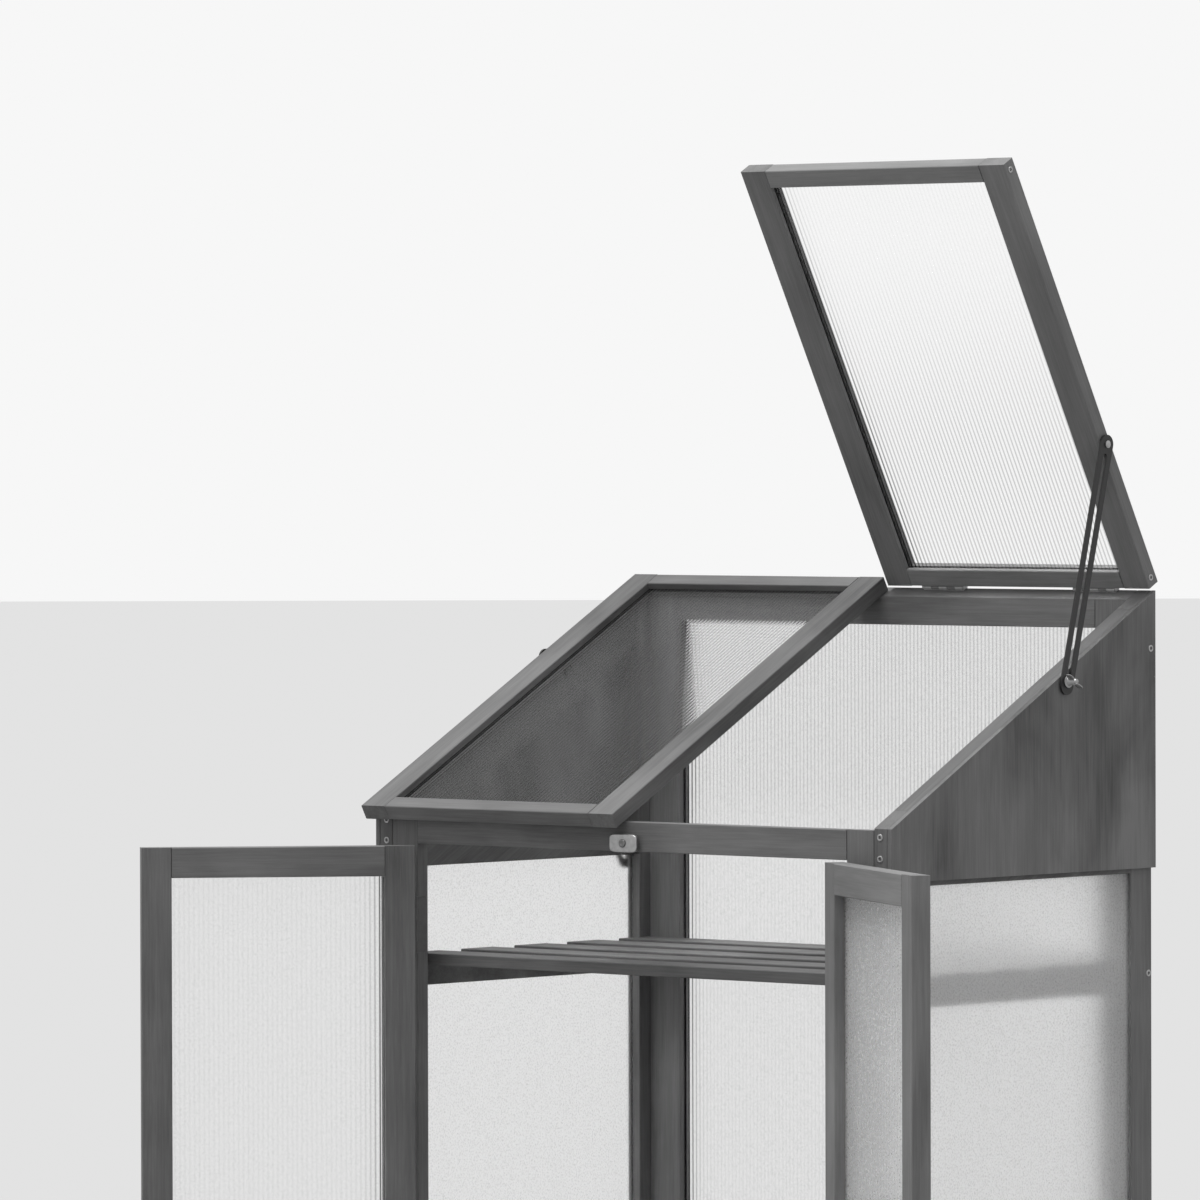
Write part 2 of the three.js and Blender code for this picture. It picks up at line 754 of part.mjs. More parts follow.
function turnButton() {
  const u = buttonLength * halfShare - buttonCornerRadius;
  const v = buttonWidth * halfShare - buttonCornerRadius;
  const outline = new THREE.Shape();
  outline.absarc(u, v, buttonCornerRadius, 0, Math.PI * halfShare, false);
  outline.absarc(-u, v, buttonCornerRadius, Math.PI * halfShare, Math.PI, false);
  outline.absarc(-u, -v, buttonCornerRadius, Math.PI, Math.PI + Math.PI * halfShare, false);
  outline.absarc(u, -v, buttonCornerRadius, Math.PI + Math.PI * halfShare, 2 * Math.PI, false);
  const hole = new THREE.Path();
  hole.absarc(0, 0, buttonHoleRadius, 0, 2 * Math.PI, true);
  outline.holes.push(hole);
  const curveSegments = roundSegments * halfShare;
  const flat = new THREE.ExtrudeGeometry(outline, { depth: buttonThick, bevelEnabled: false, curveSegments });
  return flat.rotateX(radians(quarterTurnDegrees)).translate(0, -buttonDiscThick - jointGap, 0);
}

// Doors, drawn closed about the hinge pin for the right door: x runs from the post to the middle as -x
const doorAxisX = openingHalf;
const doorAxisY = -doorKnuckleRadius - jointGap;
const doorWidth = openingHalf - doorSideGap - doorMeetGap * halfShare;
const doorLow = bottomRailTop + doorBottomGap;
const doorHigh = frontRailLow - doorTopGap;
const doorHingeMiddles = [doorLow + doorHingeFromEnd, doorHigh - doorHingeFromEnd];

function doorPieces(side) {
  const near = -doorSideGap;
  const far = near - doorWidth;
  const face = -doorAxisY;
  const back = face + doorThick;
  const middle = back - doorPanelInset - panelThick * halfShare;
  const from = far + doorStileWidth + jointGap;
  const to = near - doorStileWidth - jointGap;
  const topLow = doorHigh - doorRailHeight;
  const lowTop = doorLow + doorRailHeight;
  const corners = [
    [from - jointGap - panelLap, middle - panelThick * halfShare, lowTop - panelLap],
    [to + jointGap + panelLap, middle + panelThick * halfShare, topLow + panelLap],
  ];
  const room = () => sheetRoom(...corners, 1);
  const nearStile = barZ(section(near - doorStileWidth, near, face, back), doorLow, doorHigh);
  const farStile = barZ(section(far, far + doorStileWidth, face, back), doorLow, doorHigh);
  const topRail = barX(section(face, back, topLow, doorHigh), from, to);
  const lowRail = barX(section(face, back, doorLow, lowTop), from, to);
  const leaves = doorHingeMiddles.map((z) => doorHingeHalf(1, doorMovingLeafFrom).translate(0, 0, z));
  return {
    hingeStile: sided(joined([cut(nearStile, [room()]), ...leaves]), side),
    freeStile: sided(cut(farStile, [room()]), side),
    topRail: sided(cut(topRail, [room()]), side),
    lowRail: sided(cut(lowRail, [room()]), side),
    panel: sided(sheet(...corners), side),
  };
}

// One half of a door's butt hinge: the knuckles stand on the pin and the leaf lies in the side gap
function doorHingeHalf(first, leafFrom) {
  const end = doorHingeLength * halfShare;
  const leaf = barZ(plainSection(leafFrom, leafFrom + doorLeafThick, 0, doorLeafWidth), -end, end);
  return hingeHalf(doorKnuckleRadius, doorHingeLength, first, [leaf], true);
}

const doorFixedLeafFrom = -jointGap - doorLeafThick;
const doorMovingLeafFrom = -doorSideGap - leafSink;

// Assembly
const greenhouse = new THREE.Group();
const body = new THREE.Group();
greenhouse.add(body);

addSide(body, 'left');
addSide(body, 'right');
addFront(body);
addBack(body);
addPiece(body, 'upper_shelf', shelf(upperShelfTop), frontWood);
addPiece(body, 'lower_shelf', shelf(lowerShelfTop), frontWood);

const postPiece = addPiece(body, 'turn_button_post', buttonPost(), zincMetal);
postPiece.position.set(0, 0, buttonZ);

const button = addPiece(body, 'turn_button', turnButton(), zincMetal);
button.position.set(0, 0, buttonZ);

function addDoor(side, degrees) {
  const sign = side === 'left' ? -1 : 1;
  const door = new THREE.Group();
  door.position.set(sign * doorAxisX, doorAxisY, 0);
  door.rotation.z = sign * radians(degrees);
  body.add(door);
  const parts = doorPieces(side);
  addPiece(door, `door_${side}_hinge_stile`, parts.hingeStile, frontWood);
  addPiece(door, `door_${side}_free_stile`, parts.freeStile, frontWood);
  addPiece(door, `door_${side}_top_rail`, parts.topRail, frontWood);
  addPiece(door, `door_${side}_bottom_rail`, parts.lowRail, frontWood);
  addPiece(door, `door_${side}_panel`, parts.panel, paneLook);
}

addDoor('left', leftDoorDegrees);
addDoor('right', rightDoorDegrees);

// The hinge halves screwed to the posts and to the back frame, and the wing bolts
function addFixedFittings(side) {
  const levels = ['lower', 'upper'];
  doorHingeMiddles.forEach((z, i) => {
    const geometry = doorHingeHalf(0, doorFixedLeafFrom).translate(doorAxisX, doorAxisY, z);
    addPiece(body, `door_${side}_hinge_${levels[i]}`, sided(geometry, side), slateMetal);
  });
  const places = ['inner', 'outer'];
  lidHingeMiddles.forEach((x, i) => {
    const geometry = lidFixedHalf().translate(x, 0, 0);
    const hinge = addPiece(body, `lid_${side}_hinge_${places[i]}`, sided(geometry, side), slateMetal);
    hinge.position.set(0, lidAxisY, lidAxisZ);
    hinge.rotation.x = roofAngle;
  });
  const bolt = boltPlace();
  const wing = addPiece(body, `wing_bolt_${side}`, sided(wingBolt(), side), zincMetal);
  wing.position.set(0, bolt.y, bolt.z);
}

addFixedFittings('left');
addFixedFittings('right');

function addLid(side, openDegrees) {
  const lid = new THREE.Group();
  lid.position.set(0, lidAxisY, lidAxisZ);
  lid.rotation.x = roofAngle - radians(openDegrees);
  body.add(lid);
  const parts = lidPieces(side);
  addPiece(lid, `lid_${side}_outer_stile`, parts.outerStile, lidWood);
  addPiece(lid, `lid_${side}_inner_stile`, parts.innerStile, lidWood);
  addPiece(lid, `lid_${side}_back_rail`, parts.backRail, lidWood);
  addPiece(lid, `lid_${side}_front_rail`, parts.frontRail, lidWood);
  addPiece(lid, `lid_${side}_panel`, parts.panel, paneLook);
  const place = pivotPlace();
  const screw = addPiece(lid, `stay_${side}_pivot_screw`, sided(stayPivotScrew(), side), zincMetal);
  screw.position.set(0, place.y, place.z);
  const stay = new THREE.Group();
  stay.position.set(0, place.y, place.z);
  stay.rotation.x = stayTurn(openDegrees);
  lid.add(stay);
  addPiece(stay, `stay_${side}_bar`, sided(stayBar(), side), blackSteel);
}

// Turn of the stay in the lid's frame: it points from the pivot to the bolt
function stayTurn(openDegrees) {
  const pivot = pivotPlace();
  const bolt = boltOffset();
  const open = radians(openDegrees);
  const boltY = bolt.y * Math.cos(open) - bolt.z * Math.sin(open);
  const boltZ = bolt.y * Math.sin(open) + bolt.z * Math.cos(open);
  return Math.atan2(boltZ - pivot.z, boltY - pivot.y) - Math.PI;
}

addLid('left', 0);
addLid('right', lidOpenDegrees);

// Stand the box of the whole assembly centred on the origin
greenhouse.updateMatrixWorld(true);
const box = new THREE.Box3();
for (const piece of pieces) {
  piece.geometry.computeBoundingBox();
  box.expandByObject(piece, true);
}
body.position.set(-(box.min.x + box.max.x) * halfShare, -(box.min.y + box.max.y) * halfShare, 0);
greenhouse.updateMatrixWorld(true);

export default greenhouse;
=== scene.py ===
"""Dresses the mini greenhouse: stained timber, twin-wall sheets, screws and fittings.

It also makes the floor, the light and the camera. Lengths are in metres. The front faces -Y, +X is to
the right of someone who looks at the doors, and the feet stand on z = 0.
"""

import math

import bpy
import numpy as np
from mathutils import Matrix, Vector


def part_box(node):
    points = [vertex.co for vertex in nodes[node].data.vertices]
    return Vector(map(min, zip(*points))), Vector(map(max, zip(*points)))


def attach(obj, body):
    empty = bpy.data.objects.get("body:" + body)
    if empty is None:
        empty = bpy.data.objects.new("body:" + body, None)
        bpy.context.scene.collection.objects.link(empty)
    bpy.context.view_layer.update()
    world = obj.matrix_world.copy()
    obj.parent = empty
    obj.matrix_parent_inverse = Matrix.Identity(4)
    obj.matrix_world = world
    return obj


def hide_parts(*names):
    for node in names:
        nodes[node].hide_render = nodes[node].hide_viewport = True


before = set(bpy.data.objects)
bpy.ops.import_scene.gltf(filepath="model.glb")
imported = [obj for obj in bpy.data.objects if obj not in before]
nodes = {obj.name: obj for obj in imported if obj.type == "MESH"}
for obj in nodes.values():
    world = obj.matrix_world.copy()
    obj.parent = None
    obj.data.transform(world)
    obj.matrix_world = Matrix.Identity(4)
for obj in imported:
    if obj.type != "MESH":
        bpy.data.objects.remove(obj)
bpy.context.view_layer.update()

MM = 0.001

# Angles that the dressing shares with the solids
ROOF = math.radians(28.7)
LEFT_DOOR = math.radians(131)
RIGHT_DOOR = math.radians(147.5)
RIGHT_LID = ROOF - math.radians(90)

# Ways in which the bars and the sheets run
UP = (0, 0, 1)
ACROSS = (1, 0, 0)
DEEP = (0, 1, 0)
LEFT_SLOPE = (0, math.cos(ROOF), math.sin(ROOF))
RIGHT_SLOPE = (0, math.cos(RIGHT_LID), math.sin(RIGHT_LID))
LEFT_DOOR_ALONG = (math.cos(-LEFT_DOOR), math.sin(-LEFT_DOOR), 0)
RIGHT_DOOR_ALONG = (math.cos(RIGHT_DOOR), math.sin(RIGHT_DOOR), 0)

left_side_low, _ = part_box("side_left_gable_plank")
_, right_side_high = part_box("side_right_gable_plank")
front_low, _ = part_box("front_top_rail")
CENTRE_X = (left_side_low[0] + right_side_high[0]) / 2
FRONT_Y = front_low[1]


def at(x, y, z):
    """A point given in millimetres from the body's middle, front face and floor."""
    return np.array([CENTRE_X + x * MM, FRONT_Y + y * MM, z * MM])


# Shapes


def new_piece(name, points, faces, smooth=True):
    """Puts an (n, 3) array of points and a list of faces into a mesh object at the origin."""
    mesh = bpy.data.meshes.new(name)
    mesh.from_pydata(np.asarray(points, float).tolist(), [], [list(map(int, f)) for f in faces])
    mesh.polygons.foreach_set("use_smooth", np.full(len(mesh.polygons), smooth))
    mesh.update()
    piece = bpy.data.objects.new(name, mesh)
    bpy.context.scene.collection.objects.link(piece)
    return piece


def grid_faces(rows, columns, close_columns=False):
    """Quads between neighbours of a rows x columns grid of points, as an (m, 4) array."""
    r = np.arange(rows - 1)
    c = np.arange(columns if close_columns else columns - 1)
    r, c = np.meshgrid(r, c, indexing="ij")
    here = r * columns + c
    beside = r * columns + (c + 1) % columns
    return np.stack([here, beside, beside + columns, here + columns], axis=-1).reshape(-1, 4)


def unit(vector):
    """The vector at length one."""
    vector = np.asarray(vector, float)
    return vector / np.linalg.norm(vector)


def turned_box(name, across, along):
    """A CAD node's axes across, along and through it, and its lowest and highest corner in them."""
    axes = np.stack([unit(across), unit(along), np.cross(unit(across), unit(along))])
    mesh = nodes[name].data
    points = np.empty(len(mesh.vertices) * 3)
    mesh.vertices.foreach_get("co", points)
    points = points.reshape(-1, 3) @ axes.T
    return axes, points.min(axis=0), points.max(axis=0)


# Ribs of the twin-wall sheets
RIB_PITCH = 5.5 * MM
RIB_DIP = 0.2 * MM
RIB_STEPS = 6
SHEET_RIM = 2 * MM


def ribbed_sheet(name, solid, across, along, body):
    """Twin-wall sheet in the place of its CAD node.

    Across the sheet, half its thickness is half the CAD thickness less the dip times the square of the
    sine of pi times the place over the pitch, so that both faces stand full at each web and sink between
    the webs. Along the sheet nothing changes.
    """
    axes, low, high = turned_box(solid, across, along)
    ribs = round((high[0] - low[0]) / RIB_PITCH)
    step = np.arange(ribs * RIB_STEPS + 1)
    u = low[0] + (high[0] - low[0]) * step / step[-1]
    v = np.array([low[1], low[1] + SHEET_RIM, high[1] - SHEET_RIM, high[1]])
    u, v = np.meshgrid(u, v, indexing="ij")
    sink = np.broadcast_to(RIB_DIP * np.sin(np.pi * step / RIB_STEPS)[:, None] ** 2, u.shape)
    upper = np.stack([u, v, high[2] - sink], axis=-1).reshape(-1, 3)
    lower = np.stack([u, v, low[2] + sink], axis=-1).reshape(-1, 3)
    points = np.concatenate([upper, lower]) @ axes
    rows, columns = sink.shape
    face = grid_faces(rows, columns)
    under = rows * columns
    rim = np.concatenate([
        np.arange(columns - 1),
        np.arange(1, rows) * columns - 1,
        np.arange(rows * columns - 1, (rows - 1) * columns, -1),
        np.arange(rows - 1, 0, -1) * columns,
    ])
    after = np.roll(rim, -1)
    faces = np.concatenate([
        face[:, ::-1],
        face + under,
        np.stack([rim, after, after + under, rim + under], axis=-1),
    ])
    sheet = new_piece(name, points, faces)
    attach(sheet, body)
    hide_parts(solid)
    return sheet


def eased(profile, ease):
    """A profile whose corners are each two points, a short way before and after the corner."""
    profile = np.asarray(profile, float)
    step = np.diff(profile, axis=0)
    step /= np.linalg.norm(step, axis=1)[:, None]
    inner = np.stack([profile[1:-1] - ease * step[:-1], profile[1:-1] + ease * step[1:]], axis=1)
    return np.vstack([profile[:1], inner.reshape(-1, 2), profile[-1:]])


def turned(profile, segments, lobes=0.0, long=1.0, squareness=2.0):
    """Closed surface of a profile of (radius, height) turned about z, with both its ends on the axis.

    A point lies at long times the radius times the cosine, at the radius times the sine, and at the
    height. Cosine and sine are each raised to 2 over the squareness with their sign kept, so that 2 gives
    a round and 5 a rounded box. A cross recess has lobes, which lift a point by lobes times the cosine of
    four times the angle.
    """
    radii, heights = np.asarray(profile, float).T
    lift = np.broadcast_to(lobes, radii.shape)
    angle = np.linspace(0, 2 * np.pi, segments, endpoint=False)
    cosine, sine = np.cos(angle), np.sin(angle)
    cosine = np.sign(cosine) * np.abs(cosine) ** (2 / squareness) * long
    sine = np.sign(sine) * np.abs(sine) ** (2 / squareness)
    ring = np.stack([
        np.outer(radii[1:-1], cosine),
        np.outer(radii[1:-1], sine),
        heights[1:-1, None] + np.outer(lift[1:-1], np.cos(4 * angle)),
    ], axis=-1).reshape(-1, 3)
    points = np.vstack([ring, [0, 0, heights[0]], [0, 0, heights[-1]]])
    faces = grid_faces(len(radii) - 2, segments, close_columns=True).tolist()
    begin = np.arange(segments)
    after = (begin + 1) % segments
    end = len(ring) - segments
    faces += np.stack([np.full(segments, len(ring)), after, begin], axis=-1).tolist()
    faces += np.stack([np.full(segments, len(ring) + 1), begin + end, after + end], axis=-1).tolist()
    return points, faces


def aimed(points, towards, side, centre):
    """Points turned so that their z runs towards and their x to the side, and moved to the centre."""
    z = unit(towards)
    x = unit(np.asarray(side, float) - z * np.dot(side, z))
    return points @ np.stack([x, np.cross(z, x), z]) + centre


def gathered(parts):
    """One list of points and one of faces from several (points, faces) parts."""
    points, faces, start = [], [], 0
    for some, those in parts:
        points.append(some)
        faces += [[index + start for index in face] for face in those]
        start += len(some)
    return np.concatenate(points), faces


# Materials


def node(tree, kind, **settings):
    """A new node of a kind, with its settings."""
    made = tree.nodes.new(kind)
    for key, value in settings.items():
        setattr(made, key, value)
    return made


def fresh(name):
    """A new material with nothing but a shader and its output."""
    material = bpy.data.materials.new(name)
    material.use_nodes = True
    tree = material.node_tree
    tree.nodes.clear()
    out = node(tree, "ShaderNodeOutputMaterial")
    shader = node(tree, "ShaderNodeBsdfPrincipled")
    tree.links.new(shader.outputs["BSDF"], out.inputs["Surface"])
    return material, tree, shader


def grey(value):
    """An sRGB grey from 0 to 255 as a linear colour."""
    v = value / 255
    linear = v / 12.92 if v <= 0.04045 else ((v + 0.055) / 1.055) ** 2.4
    return (linear, linear, linear, 1.0)


def arithmetic(tree, operation, *values):
    """A Math node whose inputs are numbers or sockets."""
    made = node(tree, "ShaderNodeMath", operation=operation)
    for socket, value in zip(made.inputs, values):
        if isinstance(value, (int, float)):
            socket.default_value = value
        else:
            tree.links.new(value, socket)
    return made.outputs[0]


def two_greys(tree, share, stops, first, last):
    """A colour that runs from the first sRGB grey to the last between two stops of the share."""
    ramp = node(tree, "ShaderNodeValToRGB")
    for element, stop, value in zip(ramp.color_ramp.elements, stops, (first, last)):
        element.position = stop
        element.color = grey(value)
    tree.links.new(share, ramp.inputs["Fac"])
    return ramp.outputs["Color"]


def spread_out(tree, share, low, high, begin=0.0, end=1.0, interpolation="LINEAR"):
    """A number that runs from low to high while the share runs from begin to end."""
    made = node(tree, "ShaderNodeMapRange", interpolation_type=interpolation)
    made.inputs["From Min"].default_value = begin
    made.inputs["From Max"].default_value = end
    made.inputs["To Min"].default_value = low
    made.inputs["To Max"].default_value = high
    tree.links.new(share, made.inputs["Value"])
    return made.outputs["Result"]


def noise_on(tree, space, waves, detail, rough=0.5, distortion=0.0):
    """Noise on a vector socket, with about so many waves to each metre of it."""
    noise = node(tree, "ShaderNodeTexNoise")
    noise.inputs["Scale"].default_value = waves
    noise.inputs["Detail"].default_value = detail
    noise.inputs["Roughness"].default_value = rough
    noise.inputs["Distortion"].default_value = distortion
    tree.links.new(space, noise.inputs["Vector"])
    return noise.outputs["Fac"]


def blended(tree, first, second, share):
    """The first number mixed with a share of the second."""
    mix = node(tree, "ShaderNodeMix", data_type="FLOAT")
    mix.inputs["Factor"].default_value = share
    tree.links.new(first, mix.inputs[2])
    tree.links.new(second, mix.inputs[3])
    return mix.outputs[0]


def paint(piece, material):
    """Gives a piece one material all over."""
    piece.data.materials.clear()
    piece.data.materials.append(material)


# Grain: waves to the metre along, across and through the board, then detail, roughness and distortion
STREAKS = ((3.5, 75, 75), 5, 0.65, 0.4)
FIBRES = ((16, 460, 460), 4, 0.7, 0.0)
CLOUDS = ((5, 11, 11), 3, 0.5, 0.6)
FIBRE_SHARE = 0.55

# Where the grain of one finish starts beside that of the next, in metres
GRAIN_SHIFT = (0.37, 0.11, 0.23)

# Stain: greys below the tone in the dark grain, share of them above it in the light grain, and stops
STAIN_DEPTH = 19
STAIN_LIGHT_SHARE = 0.8
STAIN_STOPS = (0.36, 0.62)
STAIN_ROUGHNESS = (0.5, 0.72)
STAIN_GLOSS = 0.3
FIBRE_BUMP = 0.25
FIBRE_HEIGHT = 0.4 * MM


def grain_space(tree, along, across, seed):
    """Object coordinates turned so that X runs along the grain and Y across it."""
    along = Vector(along).normalized()
    across = Vector(across)
    across = (across - along * across.dot(along)).normalized()
    third = along.cross(across)
    coordinates = node(tree, "ShaderNodeTexCoord")
    mapping = node(tree, "ShaderNodeMapping")
    mapping.inputs["Rotation"].default_value = Matrix((along, across, third)).to_euler("XYZ")
    mapping.inputs["Location"].default_value = [seed * shift for shift in GRAIN_SHIFT]
    tree.links.new(coordinates.outputs["Object"], mapping.inputs["Vector"])
    return mapping.outputs["Vector"]


def grain(tree, space, waves, detail, rough, distortion):
    """Noise in the grain space, stretched along the board."""
    mapping = node(tree, "ShaderNodeMapping")
    mapping.inputs["Scale"].default_value = waves
    tree.links.new(space, mapping.inputs["Vector"])
    return noise_on(tree, mapping.outputs["Vector"], 1, detail, rough, distortion)


def stained_timber(name, tone_with_painted_light, along, across, seed, contrast, cloudy):
    """Matt slate-grey stain over softwood: long streaks, fine fibres and soft darker clouds."""
    material, tree, shader = fresh(name)
    space = grain_space(tree, along, across, seed)
    streaks = grain(tree, space, *STREAKS)
    fibres = grain(tree, space, *FIBRES)
    clouds = grain(tree, space, *CLOUDS)
    body = blended(tree, blended(tree, streaks, fibres, FIBRE_SHARE), clouds, cloudy)
    depth = STAIN_DEPTH * contrast
    colour = two_greys(tree, body, STAIN_STOPS, tone_with_painted_light - depth, tone_with_painted_light + depth * STAIN_LIGHT_SHARE)
    tree.links.new(colour, shader.inputs["Base Color"])
    tree.links.new(spread_out(tree, fibres, *STAIN_ROUGHNESS), shader.inputs["Roughness"])
    bump = node(tree, "ShaderNodeBump")
    bump.inputs["Strength"].default_value = FIBRE_BUMP
    bump.inputs["Distance"].default_value = FIBRE_HEIGHT
    tree.links.new(fibres, bump.inputs["Height"])
    tree.links.new(bump.outputs["Normal"], shader.inputs["Normal"])
    shader.inputs["Specular IOR Level"].default_value = STAIN_GLOSS
    return material


# Metal: waves of its unevenness to the metre, their detail, the stops and the shares of grey and gloss
METAL_WAVES = 220
METAL_DETAIL = 3
METAL_STOPS = (0.3, 0.7)
METAL_SHADE = 0.06
METAL_ROUGHNESS_SHARES = (0.8, 1.25)
# Grey towards which the named attribute darkens a metal: painted shade in the screws' cross recesses, and
# the darker inner ends of the wing bolts
RECESS_GREY = 34


def metal(name, value, roughness, metallic, recess=None):
    """Metal with a faint unevenness in colour and in gloss, dark where the recess attribute says so."""
    material, tree, shader = fresh(name)
    coordinates = node(tree, "ShaderNodeTexCoord")
    unevenness = noise_on(tree, coordinates.outputs["Object"], METAL_WAVES, METAL_DETAIL)
    shades = value * (1 - METAL_SHADE), value * (1 + METAL_SHADE)
    colour = two_greys(tree, unevenness, METAL_STOPS, *shades)
    # The attribute mixes the colour towards the recess grey: painted shade in the screws' cross recesses,
    # and the darker inner ends of the wing bolts
    if recess:
        darkness = node(tree, "ShaderNodeAttribute", attribute_name=recess)
        mix = node(tree, "ShaderNodeMix", data_type="RGBA")
        tree.links.new(darkness.outputs["Fac"], mix.inputs["Factor"])
        tree.links.new(colour, mix.inputs[6])
        mix.inputs[7].default_value = grey(RECESS_GREY)
        colour = mix.outputs[2]
    tree.links.new(colour, shader.inputs["Base Color"])
    gloss = spread_out(tree, unevenness, *(roughness * share for share in METAL_ROUGHNESS_SHARES))
    tree.links.new(gloss, shader.inputs["Roughness"])
    shader.inputs["Metallic"].default_value = metallic
    return material


def darken(piece, attribute, values):
    """Writes how dark a piece is at each of its points."""
    shade = piece.data.attributes.new(attribute, "FLOAT", "POINT")
    shade.data.foreach_set("value", np.asarray(values, np.float32))


# How far a sheet's edge lies inside a stile, how far the painted refraction of the stile reaches into the
# webs, and how thin the webs are
SHEET_LAP = 6.3 * MM
STILE_REFRACTION_FADE = 10 * MM
WEB_POWER = 2.5

# Noise of the specks to the metre, its detail, and the level above which a speck shows
SPECK_WAVES = 500
SPECK_DETAIL = 2
SPECK_LEVEL = 0.44

# Greys of a clear and of the darkest place, least roughness as a share, gloss, and share open to shadows
CLEAR_GREY = 255
DARKEST_GREY = 30
SMOOTHEST_SHARE = 0.5
SHEET_GLOSS = 0.2
OPEN_TO_SHADOWS = 0.75


def twin_wall(name, axes, low, high, haze, roughness, bend, tint, webs, specks, stile_refraction, growth):
    """Clear twin-wall sheet with a little white haze, fine specks and a web along each rib.

    The specks lie on one face. The webs show on the other, where the square of the cosine of pi times the
    place over the pitch, raised to a power, comes near one. Beside the stile at the low end they are
    stronger, with painted dark lines that stand in for the image of the dark stile which the ribs refract.
    Away from the stile this falls off exponentially, to about a third in each fade.
    Growth says between which shares of the sheet's length the webs grow, and how many times as strong they
    get. Tint darkens it all a little. For shadows alone most of the sheet counts as open.
    """
    material, tree, shader = fresh(name)
    coordinates = node(tree, "ShaderNodeTexCoord")
    reach = []
    for way in axes:
        dot = node(tree, "ShaderNodeVectorMath", operation="DOT_PRODUCT")
        dot.inputs[1].default_value = Vector(way)
        tree.links.new(coordinates.outputs["Object"], dot.inputs[0])
        reach.append(dot.outputs["Value"])
    place = arithmetic(tree, "SUBTRACT", reach[0], low[0])
    lower = arithmetic(tree, "LESS_THAN", reach[2], (low[2] + high[2]) / 2)
    upper = arithmetic(tree, "SUBTRACT", 1, lower)

    wave = arithmetic(tree, "COSINE", arithmetic(tree, "MULTIPLY", place, math.pi / RIB_PITCH))
    web = arithmetic(tree, "POWER", arithmetic(tree, "MULTIPLY", wave, wave), WEB_POWER)
    inside = arithmetic(tree, "SUBTRACT", place, SHEET_LAP)
    fade = arithmetic(tree, "EXPONENT", arithmetic(tree, "MULTIPLY", inside, -1 / STILE_REFRACTION_FADE))
    fade = arithmetic(tree, "MINIMUM", fade, 1)
    begin, end = (low[1] + share * (high[1] - low[1]) for share in growth[:2])
    grown = spread_out(tree, reach[1], webs, webs * growth[2], begin, end, "SMOOTHSTEP")
    # Painted refraction: beside the stile the webs are darkened more, standing in for the stile's image in
    # the ribs
    strength = arithmetic(tree, "MULTIPLY_ADD", fade, stile_refraction, grown)
    web = arithmetic(tree, "MULTIPLY", arithmetic(tree, "MULTIPLY", web, lower), strength)

    noise = noise_on(tree, coordinates.outputs["Object"], SPECK_WAVES, SPECK_DETAIL)
    speck = arithmetic(tree, "MULTIPLY_ADD", noise, specks, -SPECK_LEVEL * specks)
    speck = arithmetic(tree, "MULTIPLY", arithmetic(tree, "MAXIMUM", speck, 0), upper)
    shade = arithmetic(tree, "ADD", arithmetic(tree, "ADD", speck, web), tint)
    tree.links.new(two_greys(tree, shade, (0, 1), CLEAR_GREY, DARKEST_GREY), shader.inputs["Base Color"])

    uneven = arithmetic(tree, "MULTIPLY_ADD", noise, roughness, roughness * SMOOTHEST_SHARE)
    tree.links.new(uneven, shader.inputs["Roughness"])
    path = node(tree, "ShaderNodeLightPath")
    cover = arithmetic(tree, "MULTIPLY_ADD", path.outputs["Is Shadow Ray"], -OPEN_TO_SHADOWS, 1)
    tree.links.new(cover, shader.inputs["Alpha"])
    shader.inputs["Transmission Weight"].default_value = 1 - haze
    shader.inputs["IOR"].default_value = bend
    shader.inputs["Specular IOR Level"].default_value = SHEET_GLOSS
    return material


